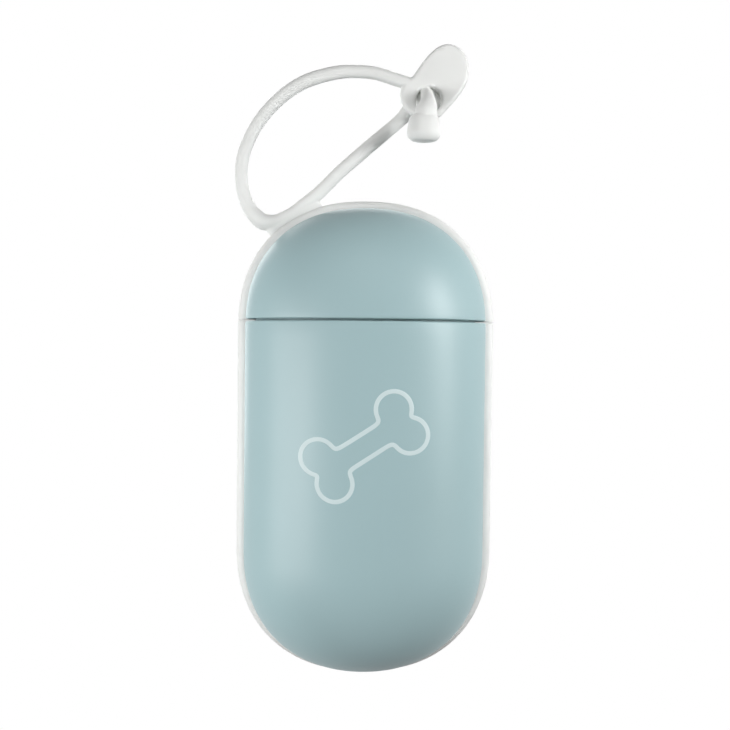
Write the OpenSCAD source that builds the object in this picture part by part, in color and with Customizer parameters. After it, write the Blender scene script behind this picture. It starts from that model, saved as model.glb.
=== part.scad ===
// Flip-top dispenser for a roll of pet waste bags. Two hard shells close on a soft rim,
// the lid turns on a hinge at the back, and a moulded strap loops through a leash.
// Shapes are drawn about the middle of the capsule and set down about the leash loop.

/* [Shells] */
// Height of the hard shells, end to end
shell_h = 96; // [92:1:120]
// Thickness of the hard shells
wall = 1.8; // [1.4:0.1:2.2]
// Straight edge of the front shells before the rim
skirt = 1.5; // [1:0.25:3]
// Width of the flat on the back
flat_w = 29; // [27:1:33]
// Height of the lid, from its top to the seam
lid_h = 23.3; // [20:0.5:28]
// Gap between lid and case at the seam
seam_gap = 0.4; // [0.2:0.1:0.8]
// Clearance between parts that slide into each other
fit_gap = 0.3; // [0.2:0.05:0.5]

/* [Soft rim] */
// Width of the rim, front to back
rim_w = 4; // [3:0.5:6]
// How far the rim stands out of the shells
rim_out = 2; // [1:0.25:3]
// Rounding of the rim's outer edges
rim_round = 1.2; // [0.4:0.1:1.4]
// Gap between the lid's rim and the case's rim
rim_gap = 0.15; // [0.1:0.05:0.3]

/* [Collar and lips] */
// Height of the case's collar inside the lid
collar_h = 2.5; // [1.5:0.25:4]
// Thickness of the collar and of the lips under the rim
collar_t = 1.2; // [0.9:0.1:1.5]
// How far the lips reach into the back shells
lip_over = 1.5; // [1:0.25:2.5]

/* [Hinge] */
// Diameter of the hinge pin
pin_d = 1.2; // [1:0.1:1.4]
// Diameter of the hinge knuckles
barrel_d = 2.6; // [2.4:0.1:3.2]
// Width of the hinge over all knuckles
hinge_w = 28; // [24:1:28]
// Width of the lid's knuckle
lid_knuckle_w = 12; // [8:1:16]
// Gap between neighbouring knuckles
knuckle_gap = 0.2; // [0.1:0.05:0.4]
// Room between the knuckles and the edges of the shells
hinge_relief = 0.6; // [0.6:0.1:1]
// Thickness of the shield between hinge and bag roll
shield_t = 1; // [0.8:0.1:1.5]

/* [Bag outlet] */
// Width of the outlet through its soft grommet
outlet_w = 6; // [4.5:0.5:8]
// Height of the outlet through its soft grommet
outlet_h = 18; // [14:1:26]
// Height of the outlet's middle, from the middle of the capsule
outlet_z = -6; // [-12:1:0]
// Thickness of the grommet round the outlet
grommet_t = 1.4; // [1:0.1:2]
// How far the grommet's flanges reach past its neck
flange_w = 1.6; // [1:0.1:2.5]
// Thickness of the grommet's flanges
flange_t = 0.8; // [0.6:0.1:0.9]

/* [Bag roll] */
// Diameter of the full roll
roll_d = 30; // [26:1:32]
// How far the roll stands above the seam
roll_over = 0.3; // [0:0.1:2]
// Outer diameter of the card core
core_d = 12.6; // [12:0.2:15]
// Bore of the card core
core_bore = 11; // [10:0.2:11.4]
// Room beside the roll, out to the side of the shells
side_room = 10; // [9.5:0.5:14]
// Clearance between the roll and what surrounds it
roll_clear = 0.7; // [0.5:0.1:1.5]
// Height of the roll's foot above the lower end of the cavity's straight part
roll_drop = 10; // [8:0.5:10.5]

/* [Roll hub] */
// Diameter of the hub's flange
hub_flange_d = 24; // [18:1:26]
// Thickness of the hub's flange
hub_flange_t = 1.5; // [1:0.1:2]
// Height of the hub's post above the flange
hub_post_h = 16; // [10:1:24]
// Running clearance between hub and core, on the radius
hub_clear = 0.08; // [0.04:0.01:0.1]
// Diameter of the spigot under the flange
spigot_d = 6; // [5:0.5:7]
// Length of the spigot under the flange
spigot_h = 3; // [2:0.5:4]

/* [Screws and magnets] */
// Diameter of the screws
screw_d = 2; // [1.6:0.2:2.2]
// Diameter of the screw heads
screw_head_d = 3.8; // [3.4:0.2:4]
// Height of the screw heads
screw_head_h = 1.2; // [1:0.1:1.5]
// Length of the shell screws under the head
screw_len = 13; // [12:1:15]
// Diameter of the screw bosses
boss_d = 4.6; // [4.2:0.2:5]
// Diameter of the closing magnets
magnet_d = 4; // [3:0.5:4]
// Thickness of the closing magnets
magnet_t = 2; // [1.5:0.5:3]
// Wall round the closing magnets
magnet_wall = 0.6; // [0.5:0.1:0.8]

/* [Strap] */
// Height of the strap's loop above its root
loop_h = 32; // [26:1:40]
// Diameter of the strap's strands
strap_d = 2.9; // [2.4:0.1:3.2]
// Width of the strap's neck through the rim
neck_w = 11; // [9:0.5:12]
// Thickness of the strap's neck and foot
neck_t = 3; // [2.4:0.1:3.2]
// Direction in which the strap leaves the lid, in degrees from the right
strap_angle = 123; // [118:1:126]
// Half the width of the eyelet tab
tab_r = 5.2; // [4.6:0.1:5.6]
// Thickness of the eyelet tab
tab_t = 2.6; // [2:0.1:2.8]
// Diameter of the eyelet's hole
eyelet_d = 4.8; // [4.2:0.1:5.2]
// Widest diameter of the toggle's knob
knob_d = 7.3; // [6.4:0.1:8]
// Height of the toggle's knob
knob_h = 6.1; // [5:0.1:7]

/* [Hidden] */
$fn = 64;
big = 300;
tiny = 0.05;

// Capsule: a radius round a spine, with the seam near the upper arc's centre
shell_w = roll_d + 2 * side_room;
r = shell_w / 2;
half = (shell_h - shell_w) / 2;
seam_z = shell_h / 2 - lid_h;

// Depths, front to back, from the roll outwards
rim_y0 = skirt;
rim_y1 = skirt + rim_w;
rim_y = (rim_y0 + rim_y1) / 2;
inner_step = wall + fit_gap + collar_t;
front_d = roll_d / 2 + roll_clear + inner_step;
shield_y = roll_d / 2 + roll_clear;
hinge_y = shield_y + shield_t + knuckle_gap + barrel_d / 2;
back_y = hinge_y + barrel_d / 2 + 2 * tiny;
back_curve = (back_y - rim_y1) / sqrt(1 - pow(flat_w / shell_w, 2));
lip_y = rim_y1 + lip_over;
collar_base = 3;

// Hinge: the shells are cut back wherever they stand behind the pin
relief_z = barrel_d / 2 + hinge_relief;
hinge_zone = 2 * r * sqrt(1 - pow((hinge_y - rim_y1) / back_curve, 2)) + 2 * fit_gap;
shield_base = 2.5;
pin_play = 0.05;
pin_press = 0.02;

// Roll and hub
roll_z0 = -half - roll_drop;
roll_h = seam_z + roll_over - roll_z0;
roll_seat = 0.2;
hub_z = roll_z0 - roll_seat;
hub_bore_r = (screw_head_d + 0.6) / 2;
pedestal_d = 2 * spigot_d;
pedestal_z = -half - (r - inner_step) - 0.2;
hub_screw_len = 8;

// Screws sit in wells below the back surface
boss_clear = 1.2;
column_r = screw_head_d / 2 + 1.1;
case_screw_at = [[roll_d / 2 + roll_clear + column_r, half - 0.4 * r], [0.44 * r, -half - 0.62 * r]];
lid_screw_at = [[r / 2, seam_z + collar_h + fit_gap + boss_d / 2 + boss_clear]];
head_sink = screw_head_h + 0.6;
well_d = screw_head_d + 0.6;

// Magnets sit between the roll and the collar, whose top is its narrowest place
magnet_boss_r = magnet_d / 2 + magnet_wall;
collar_in = sqrt(pow(r - inner_step, 2) - pow(max(0, seam_z + collar_h - half), 2));
magnet_x = collar_in - 1.2 * fit_gap - magnet_boss_r;
magnet_y = rim_y0 - 0.2 - magnet_boss_r;
magnet_boss_h = magnet_t + wall + boss_clear;

// Strap: knots are [x, y, z, radius], placed from the neck in parts of the loop's height
strap_r = strap_d / 2;
neck_r0 = r - inner_step - fit_gap;
foot_h = wall;
foot_w = neck_w + 2 * lip_over;
neck_at = [(r + rim_out) * cos(strap_angle), half + (r + rim_out) * sin(strap_angle)];
tab_y = rim_y - 0.3 * rim_w;
strand_y = tab_y + tab_t / 2 + fit_gap + strap_r;
knob_y = tab_y - tab_t / 2 - fit_gap - strap_r;
function from_neck(u, v) = neck_at + loop_h * [u, v];
function knot(u, v, y, w) = [from_neck(u, v).x, y, from_neck(u, v).y, w * strap_r];
tab_a = from_neck(0.8314, 0.8299);
tab_b = from_neck(1, 1.0111);
eyelet = from_neck(0.8595, 0.8205);
knob_at = from_neck(0.8533, 0.6393);
loop_mid = from_neck(0.10016, 0.57362);
long_knots = [
    knot(-0.046, -0.067, rim_y, 1), knot(-0.206, 0, rim_y, 1.3), knot(-0.3, 0.099, rim_y, 1.1),
    knot(-0.359, 0.23, rim_y, 1), knot(-0.369, 0.374, rim_y, 1), knot(-0.328, 0.536, rim_y, 1),
    knot(-0.222, 0.708, rim_y, 1), knot(-0.016, 0.902, rim_y, 1), knot(0.191, 0.986, rim_y, 1),
    knot(0.397, 1.008, rim_y - 0.3, 1), knot(0.585, 0.967, tab_y + 0.4, 1),
    knot(0.756, 0.899, tab_y, 0.85)
];
short_knots = [
    knot(0.05, 0.01, rim_y, 1), knot(0.103, 0.13, rim_y, 1.2), knot(0.216, 0.255, rim_y + 0.4, 1),
    knot(0.441, 0.467, strand_y - 0.6, 1), knot(0.672, 0.674, strand_y, 1),
    knot(0.788, 0.771, strand_y, 1), knot(0.86, 0.83, tab_y + 0.7 * tab_t, 1),
    knot(0.866, 0.836, tab_y - 0.46 * tab_t, 1), knot(0.863, 0.777, knob_y, 1),
    knot(0.8533, 0.6393, knob_y, 1)
];

shell_blue = [0.58, 0.70, 0.72];
silicone = [0.93, 0.93, 0.92];

// Everything is set down about the middle of the leash loop
module set_down() {
    translate([-loop_mid.x, -rim_y, -loop_mid.y]) children();
}

// How far a point of the front view lies from the capsule's spine
function spine(p) = norm([p.x, max(0, abs(p.y) - half)]);
function back_at(p) = min(back_y, rim_y1 + back_curve * sqrt(1 - pow(spine(p) / r, 2)));

module stadium(rad) {
    for (end = [-1, 1]) translate([0, end * half]) circle(rad, $fn = 128);
    translate([-rad, -half]) square([2 * rad, 2 * half]);
}

// A straight-sided capsule outline between two depths
module slab(rad, y0, y1) {
    translate([0, y1, 0]) rotate([90, 0, 0]) linear_extrude(y1 - y0) stadium(rad);
}

// A capsule turned about its spine from the side at this angle, then squeezed front to back
module pill(rad, depth, start) {
    scale([1, depth / rad, 1]) rotate(start) rotate_extrude($fn = 160) intersection() {
        stadium(rad);
        translate([0, -half - rad]) square([rad, 2 * (half + rad)]);
    }
}

// Front half of the outline, this far inside the surface, straight from y = 0 to y_end
module front_form(inset, y_end) {
    intersection() {
        pill(r - inset, front_d - inset, 90);
        translate([-big / 2, -big, -big / 2]) cube(big);
    }
    slab(r - inset, 0, y_end);
}

// Back half of the outline, this far inside the surface, with its flat
module back_form(inset) {
    intersection() {
        translate([0, rim_y1, 0]) pill(r - inset, back_curve - inset, 0);
        translate([-big / 2, rim_y1, -big / 2]) cube([big, back_y - inset - rim_y1, big]);
    }
}

module below(z) {
    translate([-big / 2, -big / 2, z - big]) cube(big);
}

module above(z) {
    translate([-big / 2, -big / 2, z]) cube(big);
}

module between(z0, z1) {
    translate([-big / 2, -big / 2, z0]) cube([big, big, z1 - z0]);
}

// Places children with +z pointing out of the lid along the strap
module at_strap() {
    translate([0, 0, half]) rotate([0, 90 - strap_angle, 0]) children();
}

// Room for the strap's neck, open towards the back shell
module strap_slot() {
    at_strap() translate([-neck_w / 2, rim_y - neck_t / 2 - tiny, neck_r0 - foot_h])
        cube([neck_w, lip_over + rim_w, r - neck_r0 + 2 * rim_out + foot_h]);
}

// Lip of a front shell, which runs under the rim and into the back shell
module lip() {
    difference() {
        union() {
            slab(r - wall + 0.1, -2, rim_y0);
            slab(r - wall - fit_gap, rim_y0 - 0.1, lip_y);
        }
        slab(r - inner_step, -3, lip_y + 1);
    }
}

// Screw bosses of a front shell, with a pilot hole from behind
module front_bosses(places) {
    for (p = places, side = [-1, 1]) intersection() {
        translate([side * p.x, lip_y, p.y]) rotate([90, 0, 0]) cylinder(d = boss_d, h = big / 4);
        front_form(wall / 2, lip_y);
    }
}

module pilot_holes(places) {
    for (p = places, side = [-1, 1]) translate([side * p.x, lip_y + 1, p.y]) rotate([90, 0, 0])
        cylinder(d = screw_d + 2 * tiny, h = lip_y + 1 - back_at(p) + head_sink + screw_len + 1);
}

// Screw columns of a back shell
module back_bosses(places) {
    for (p = places, side = [-1, 1]) intersection() {
        translate([side * p.x, lip_y + 0.2, p.y]) rotate([-90, 0, 0])
            cylinder(r = column_r, h = big / 4);
        back_form(wall / 2);
    }
}

module wells(places) {
    for (p = places, side = [-1, 1]) translate([side * p.x, back_at(p) - head_sink, p.y])
        rotate([-90, 0, 0]) {
            cylinder(d = well_d, h = big / 4);
            translate([0, 0, -big / 8]) cylinder(d = screw_d + 0.4, h = big / 4);
        }
}

module shell_screws(places) {
    for (p = places, side = [-1, 1]) translate([side * p.x, back_at(p) - head_sink + tiny, p.y])
        rotate([-90, 0, 0]) screw(screw_len);
}

// A pan-head screw along +z, its shank below z = 0 and a cross recess in its head
module screw(len) {
    difference() {
        union() {
            cylinder(d = screw_head_d, h = screw_head_h - 0.3);
            translate([0, 0, screw_head_h - 0.3])
                cylinder(d1 = screw_head_d, d2 = screw_head_d - 0.8, h = 0.3);
            translate([0, 0, -len]) cylinder(d = screw_d, h = len + tiny);
        }
        for (turn = [0, 90]) rotate(turn)
            translate([-screw_head_d / 4, -0.25, screw_head_h - 0.6]) cube([screw_head_d / 2, 0.5, 1]);
    }
}

module knuckle(x0, x1, bore_r, web) {
    difference() {
        translate([x0, hinge_y, seam_z]) union() {
            rotate([0, 90, 0]) cylinder(d = barrel_d, h = x1 - x0);
            translate([0, -barrel_d / 2, min(0, web * (relief_z + 1))])
                cube([x1 - x0, barrel_d, relief_z + 1]);
        }
        translate([x0 - 1, hinge_y, seam_z]) rotate([0, 90, 0]) cylinder(r = bore_r, h = x1 - x0 + 2);
    }
}

module hinge_cut(z0, z1) {
    translate([-hinge_zone / 2, shield_y + shield_t, z0]) cube([hinge_zone, big / 4, z1 - z0]);
}

module case_front() {
    color(shell_blue) set_down() difference() {
        union() {
            intersection() {
                difference() {
                    front_form(0, rim_y0);
                    front_form(wall, rim_y0 + 1);
                }
                below(seam_z - seam_gap / 2);
            }
            intersection() {
                lip();
                below(seam_z - 1);
            }
            collar_front();
            front_bosses(case_screw_at);
            for (side = [-1, 1]) {
                translate([side * magnet_x, magnet_y, seam_z - seam_gap / 2 - magnet_boss_h])
                    cylinder(r = magnet_boss_r, h = magnet_boss_h);
                translate([side * (r - inner_step) - 2, magnet_y - 1, seam_z - seam_gap / 2 - magnet_boss_h])
                    cube([4, 2, magnet_boss_h]);
            }
            translate([0, 0, pedestal_z])
                cylinder(d = pedestal_d, h = hub_z - hub_flange_t - pedestal_z);
        }
        pilot_holes(case_screw_at);
        for (side = [-1, 1])
            translate([side * magnet_x, magnet_y, seam_z - seam_gap / 2 - magnet_t - tiny])
                cylinder(d = magnet_d + 2 * tiny, h = magnet_t + 1);
        translate([0, 0, hub_z - hub_flange_t - spigot_h - tiny])
            cylinder(d = spigot_d + 2 * tiny, h = spigot_h + 1);
        translate([0, 0, hub_z - hub_screw_len - 1]) cylinder(d = screw_d + 2 * tiny, h = hub_screw_len);
    }
}

// Front part of the collar: a thick foot below the seam and a thin wall that enters the lid
module collar_front() {
    difference() {
        union() {
            intersection() {
                front_form(wall - 0.1, rim_y0);
                between(seam_z - collar_base, seam_z - seam_gap / 2);
            }
            intersection() {
                front_form(wall + fit_gap, lip_y);
                between(seam_z - collar_base, seam_z + collar_h);
            }
        }
        front_form(inner_step, lip_y + 1);
    }
}

// Back part of the collar, which gives way to the shield at the hinge
module collar_back() {
    difference() {
        union() {
            intersection() {
                back_form(wall - 0.1);
                between(seam_z - collar_base, seam_z - seam_gap / 2);
            }
            intersection() {
                back_form(wall + fit_gap);
                between(seam_z - collar_base, seam_z + collar_h);
            }
        }
        back_form(inner_step);
        translate([-big / 2, rim_y1 - 1, -big / 2]) cube([big, lip_over + 1 + tiny, big]);
        hinge_cut(seam_z - relief_z, seam_z + big / 4);
    }
    shield();
}

// Wall that keeps the bags off the hinge, on a ledge of the shell
module shield() {
    x = hinge_zone / 2 + 0.5;
    z = seam_z - relief_z - shield_base;
    intersection() {
        translate([-x, shield_y, z]) cube([2 * x, shield_t, 2 * relief_z + shield_base - fit_gap]);
        back_form(wall + fit_gap);
    }
    intersection() {
        translate([-x, shield_y, z]) cube([2 * x, back_y - wall / 2 - shield_y, shield_base]);
        back_form(wall / 2);
    }
}

module case_back() {
    color(shell_blue) set_down() {
        difference() {
            union() {
                intersection() {
                    difference() {
                        back_form(0);
                        back_form(wall);
                    }
                    below(seam_z - seam_gap / 2);
                }
                back_bosses(case_screw_at);
            }
            hinge_cut(seam_z - relief_z, seam_z + 1);
            wells(case_screw_at);
            outlet(outlet_w + 2 * grommet_t, outlet_h + 2 * grommet_t, shield_y, back_y + 1);
            outlet(
                outlet_w + 2 * (grommet_t + flange_w) + 2 * tiny,
                outlet_h + 2 * (grommet_t + flange_w) + 2 * tiny,
                back_y - flange_t, back_y + 1
            );
        }
        collar_back();
        for (side = [-1, 1]) {
            x0 = lid_knuckle_w / 2 + knuckle_gap;
            knuckle(side < 0 ? -hinge_w / 2 : x0, side < 0 ? -x0 : hinge_w / 2, pin_d / 2 + pin_press, -1);
        }
    }
}

// An upright slot with round ends, between two depths
module outlet(w, h, y0, y1) {
    translate([0, y1, outlet_z]) rotate([90, 0, 0]) linear_extrude(y1 - y0) {
        for (end = [-1, 1]) translate([0, end * (h - w) / 2]) circle(d = w);
        translate([-w / 2, -(h - w) / 2]) square([w, h - w]);
    }
}

module outlet_grommet() {
    neck = [outlet_w + 2 * grommet_t - 2 * tiny, outlet_h + 2 * grommet_t - 2 * tiny];
    wide = 2 * flange_w;
    color(silicone) set_down() difference() {
        union() {
            outlet(neck.x, neck.y, back_y - wall - flange_t, back_y - tiny);
            outlet(neck.x + wide, neck.y + wide, back_y - flange_t + tiny, back_y - tiny);
            outlet(neck.x + wide, neck.y + wide, back_y - wall - flange_t, back_y - wall - tiny);
        }
        outlet(outlet_w, outlet_h, shield_y - 1, back_y + 1);
    }
}

// Section of the rim, drawn outwards and backwards
module rim_section() {
    w = wall + rim_out;
    translate([r - wall, rim_y0 + tiny / 2]) union() {
        square([w - rim_round, rim_w - tiny]);
        translate([w - rim_round - tiny, rim_round]) square([rim_round + tiny, rim_w - tiny - 2 * rim_round]);
        for (y = [rim_round, rim_w - tiny - rim_round]) translate([w - rim_round, y]) circle(rim_round);
    }
}

module rim() {
    for (end = [0, 180]) rotate([0, end, 0]) translate([0, 0, half]) rotate([90, 0, 0])
        rotate_extrude(angle = 180, $fn = 128) mirror([0, 1]) rim_section();
    for (side = [0, 1]) mirror([side, 0, 0]) translate([0, 0, -half])
        linear_extrude(2 * half) rim_section();
}

module case_rim() {
    color(silicone) set_down() intersection() {
        rim();
        below(seam_z - rim_gap / 2);
    }
}

module lid_rim() {
    color(silicone) set_down() difference() {
        intersection() {
            rim();
            above(seam_z + rim_gap / 2);
        }
        strap_slot();
    }
}

module hinge_pin() {
    color("silver") set_down() translate([-hinge_w / 2 + 0.2, hinge_y, seam_z])
        rotate([0, 90, 0]) cylinder(d = pin_d, h = hinge_w - 0.4);
}

module case_screws() {
    color("silver") set_down() shell_screws(case_screw_at);
}

module lid_screws() {
    color("silver") set_down() shell_screws(lid_screw_at);
}

module roll_hub() {
    post_r = core_bore / 2 - hub_clear;
    color(silicone) set_down() translate([0, 0, hub_z]) difference() {
        union() {
            translate([0, 0, -hub_flange_t]) cylinder(d = hub_flange_d, h = hub_flange_t);
            cylinder(r = post_r, h = hub_post_h - 1);
            translate([0, 0, hub_post_h - 1]) cylinder(r1 = post_r, r2 = post_r - 0.8, h = 1);
            translate([0, 0, -hub_flange_t - spigot_h]) cylinder(d = spigot_d, h = spigot_h + tiny);
        }
        translate([0, 0, 1]) cylinder(r = hub_bore_r, h = hub_post_h);
        translate([0, 0, -hub_flange_t - spigot_h - 1])
            cylinder(d = screw_d + 0.4, h = hub_flange_t + spigot_h + 3);
    }
}

module hub_screw() {
    color("silver") set_down() translate([0, 0, hub_z + 1 + tiny]) screw(hub_screw_len);
}

module magnets(z) {
    for (side = [-1, 1]) translate([side * magnet_x, magnet_y, z]) cylinder(d = magnet_d, h = magnet_t);
}

module case_magnets() {
    color("gray") set_down() magnets(seam_z - seam_gap / 2 - magnet_t);
}

module lid_magnets() {
    color("gray") set_down() magnets(seam_z + seam_gap / 2);
}

module lid_front() {
    color(shell_blue) set_down() difference() {
        union() {
            intersection() {
                difference() {
                    front_form(0, rim_y0);
                    front_form(wall, rim_y0 + 1);
                }
                above(seam_z + seam_gap / 2);
            }
            intersection() {
                lip();
                above(seam_z + collar_h + fit_gap);
            }
            front_bosses(lid_screw_at);
            for (side = [-1, 1]) intersection() {
                translate([side * magnet_x, magnet_y, seam_z + seam_gap / 2])
                    cylinder(r = magnet_boss_r, h = lid_h);
                front_form(wall / 2, rim_y0);
            }
        }
        pilot_holes(lid_screw_at);
        strap_slot();
        for (side = [-1, 1]) translate([side * magnet_x, magnet_y, seam_z - 1])
            cylinder(d = magnet_d + 2 * tiny, h = 1 + seam_gap / 2 + magnet_t + tiny);
    }
}

module lid_back() {
    color(shell_blue) set_down() {
        difference() {
            union() {
                intersection() {
                    difference() {
                        back_form(0);
                        back_form(wall);
                    }
                    above(seam_z + seam_gap / 2);
                }
                back_bosses(lid_screw_at);
            }
            hinge_cut(seam_z - 1, seam_z + relief_z);
            wells(lid_screw_at);
        }
        knuckle(-lid_knuckle_w / 2, lid_knuckle_w / 2, pin_d / 2 + pin_play, 1);
    }
}

// A smooth curve through the knots, with this many steps between neighbours
function curve_at(a, b, c, d, t) =
    0.5 * (2 * b + (c - a) * t + (2 * a - 5 * b + 4 * c - d) * t * t + (3 * b - a - 3 * c + d) * t * t * t);
function curve(k, steps) = concat(
    [for (i = [0:len(k) - 2], s = [0:steps - 1])
        curve_at(k[max(i - 1, 0)], k[i], k[i + 1], k[min(i + 2, len(k) - 1)], s / steps)],
    [k[len(k) - 1]]
);
function place(p) = [p[0], p[1], p[2]];
function unit(v) = v / norm(v);

// A round strand along the knots; side is a direction that the strand never takes
module strand(knots, side, steps = 3, sides = 12) {
    path = curve(knots, steps);
    last = len(path) - 1;
    points = [for (k = [0:last])
        let(
            along = unit(place(path[min(k + 1, last)]) - place(path[max(k - 1, 0)])),
            across = unit(cross(along, side)),
            up = cross(across, along)
        )
        for (i = [0:sides - 1])
            place(path[k]) + path[k][3] * (cos(360 * i / sides) * across + sin(360 * i / sides) * up)];
    faces = concat(
        [for (i = [1:sides - 2]) [0, i + 1, i]],
        [for (i = [1:sides - 2]) [last * sides, last * sides + i, last * sides + i + 1]],
        [for (k = [0:last - 1], i = [0:sides - 1])
            let(a = k * sides + i, b = k * sides + (i + 1) % sides)
            each [[a, b, a + sides], [a + sides, b, b + sides]]]
    );
    polyhedron(points, faces, convexity = 8);
}

// Neck through the rim, foot inside the lid, two strands, eyelet tab and toggle in one moulding
module strap() {
    color(silicone) set_down() {
        at_strap() {
            translate([-neck_w / 2 + tiny, rim_y - neck_t / 2, neck_r0 - 1])
                cube([neck_w - 2 * tiny, neck_t, r + rim_out - neck_r0 + 1]);
            intersection() {
                translate([-foot_w / 2, rim_y - neck_t / 2, 0]) cube([foot_w, neck_t, r]);
                translate([0, rim_y + neck_t, 0]) rotate([90, 0, 0]) difference() {
                    cylinder(r = neck_r0, h = 2 * neck_t, $fn = 96);
                    translate([0, 0, -neck_t])
                        cylinder(r = neck_r0 - foot_h, h = 4 * neck_t, $fn = 96);
                }
            }
        }
        root_web(-1, long_knots);
        root_web(1, short_knots);
        strand(long_knots, [0, 1, 0]);
        strand(short_knots, unit([1, 0, -1]));
        eyelet_tab();
        knob();
    }
}

module eyelet_tab() {
    difference() {
        hull() for (p = [tab_a, tab_b]) translate([p.x, tab_y, p.y]) rotate([90, 0, 0]) {
            cylinder(r = tab_r, h = 0.4 * tab_t, center = true, $fn = 32);
            cylinder(r = tab_r - 0.9, h = tab_t, center = true, $fn = 32);
        }
        translate([eyelet.x, tab_y, eyelet.y]) rotate([90, 0, 0])
            cylinder(d = eyelet_d, h = tab_t + 1, center = true, $fn = 32);
    }
}

module knob() {
    hull() translate([knob_at.x, knob_y, knob_at.y]) {
        translate([0, 0, knob_h / 2 - 0.3]) cylinder(d = 0.68 * knob_d, h = 0.3, $fn = 24);
        translate([0, 0, -knob_h / 4]) cylinder(d = knob_d, h = 0.3 * knob_h, $fn = 24);
        translate([0, 0, -knob_h / 2]) cylinder(d = 0.7 * knob_d, h = 0.3, $fn = 24);
    }
}

// Web that spreads a strand's root over its half of the neck
module root_web(way, knots) {
    hull() {
        at_strap() translate([way < 0 ? tiny - neck_w / 2 : -0.5, rim_y - neck_t / 2, r + rim_out - 0.6])
            cube([neck_w / 2 + 0.5 - tiny, neck_t, 0.8]);
        translate(place(knots[1])) rotate([90, 0, 0])
            cylinder(r = knots[1][3], h = neck_t - 0.4, center = true, $fn = 16);
    }
}

// Card core and the bags wound on it; both turn on the hub
module roll_core() {
    color("burlywood") set_down() translate([0, 0, roll_z0]) difference() {
        cylinder(d = core_d, h = roll_h);
        translate([0, 0, -1]) cylinder(d = core_bore, h = roll_h + 2);
    }
}

module bag_roll() {
    color("steelblue") set_down() translate([0, 0, roll_z0 + 0.5]) difference() {
        cylinder(d = roll_d, h = roll_h - 1);
        translate([0, 0, -1]) cylinder(d = core_d + 2 * tiny, h = roll_h + 2);
    }
}

case_front();
case_back();
case_rim();
outlet_grommet();
hinge_pin();
case_screws();
roll_hub();
hub_screw();
case_magnets();
lid_front();
lid_back();
lid_rim();
strap();
lid_screws();
lid_magnets();
roll_core();
bag_roll();
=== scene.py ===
"""Looks of a flip-top dispenser for a roll of pet waste bags, built round its CAD frame.

Shapes are worked out in millimetres about the middle of the capsule, and laid into the frame in
metres. The capsule is a radius round an upright spine: its front is half an ellipse across, its
back is flatter, the soft rim runs round its side, and the seam between lid and case lies near the
top. A shape is a grid of points, rows by columns by three. Its columns always close into a ring,
and its rows do so where the last row repeats the first.
"""

import math

import bmesh
import bpy
import numpy as np
from mathutils import Matrix, Vector


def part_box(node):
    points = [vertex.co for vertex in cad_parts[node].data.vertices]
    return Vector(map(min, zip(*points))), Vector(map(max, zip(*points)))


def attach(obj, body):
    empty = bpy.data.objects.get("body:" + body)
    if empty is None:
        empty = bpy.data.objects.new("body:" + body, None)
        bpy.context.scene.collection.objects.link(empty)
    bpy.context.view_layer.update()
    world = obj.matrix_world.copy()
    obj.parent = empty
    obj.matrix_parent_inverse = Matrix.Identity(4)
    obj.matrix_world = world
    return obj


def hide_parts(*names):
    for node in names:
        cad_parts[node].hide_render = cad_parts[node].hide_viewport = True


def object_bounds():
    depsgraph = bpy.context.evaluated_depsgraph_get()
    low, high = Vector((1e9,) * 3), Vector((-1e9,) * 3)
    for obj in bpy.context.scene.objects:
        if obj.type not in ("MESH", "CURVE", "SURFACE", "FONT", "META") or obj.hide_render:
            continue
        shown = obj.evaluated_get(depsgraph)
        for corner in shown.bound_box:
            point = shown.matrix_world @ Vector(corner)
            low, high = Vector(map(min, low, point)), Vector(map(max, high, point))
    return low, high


bl_info = {
    "name": "Bag dispenser pieces",
    "version": (1, 0, 0),
    "blender": (4, 5, 0),
    "location": "View3D > Sidebar > Dispenser",
    "description": "Builds the shells, soft rims, strap, roll and fittings of a bag dispenser",
    "category": "Add Mesh",
}

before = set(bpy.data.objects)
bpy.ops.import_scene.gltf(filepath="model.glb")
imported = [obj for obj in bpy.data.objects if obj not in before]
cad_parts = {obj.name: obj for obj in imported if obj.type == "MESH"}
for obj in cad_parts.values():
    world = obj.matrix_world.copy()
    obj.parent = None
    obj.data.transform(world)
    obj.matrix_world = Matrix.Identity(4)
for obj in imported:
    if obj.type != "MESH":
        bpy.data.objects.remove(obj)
CAD_BOX = [list(corner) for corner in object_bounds()]
MM = 0.001

# Length of the front shells' straight skirt behind their half ellipse, and how far behind the
# capsule's middle plane the soft rim starts and ends
SKIRT = 1.5
RIM_FRONT, RIM_BACK = SKIRT + 0.025, 5.475

# Sizes of the capsule, read from the frame: its radius, half its spine, its middle, the depth of
# its front, and the radius of the soft rim round it
CASE_LO, CASE_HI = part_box("case_front")
_, LID_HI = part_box("lid_front")
RIM_LO, RIM_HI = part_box("case_rim")
CAPSULE_R = (CASE_HI.x - CASE_LO.x) / 2 / MM
SPINE = (LID_HI.z - CASE_LO.z) / 2 / MM - CAPSULE_R
CENTRE = np.array([
    (CASE_LO.x + CASE_HI.x) / 2,
    RIM_LO.y - RIM_FRONT * MM,
    CASE_LO.z + (SPINE + CAPSULE_R) * MM,
])
FRONT_DEPTH = (CENTRE[1] - CASE_LO.y) / MM
RIM_R = (RIM_HI.x - RIM_LO.x) / 2 / MM

# Power of the capsule's rounded ends: 2 would be a circle, and more is squarer at the shoulders.
# Inside the second radius, the back shells keep the solids' round ends.
SHOULDER = 2.27
ROUND_INSIDE = 21.3

# The seam: height of its middle, ends of the case's and lid's front shells, gap between the rims
SEAM = 24.7
CASE_END, LID_END = SEAM - 0.2, SEAM + 0.2
RIM_GAP = 0.15

# Wall of the shells; the lip inside it that holds the back shells; the collar that guides the lid
WALL = 1.8
LIP_THICK, LIP_GAP = 1.2, 0.3
LIP_FRONT, LIP_BACK = -2, 7.0
COLLAR_TOP = 27.2

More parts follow.
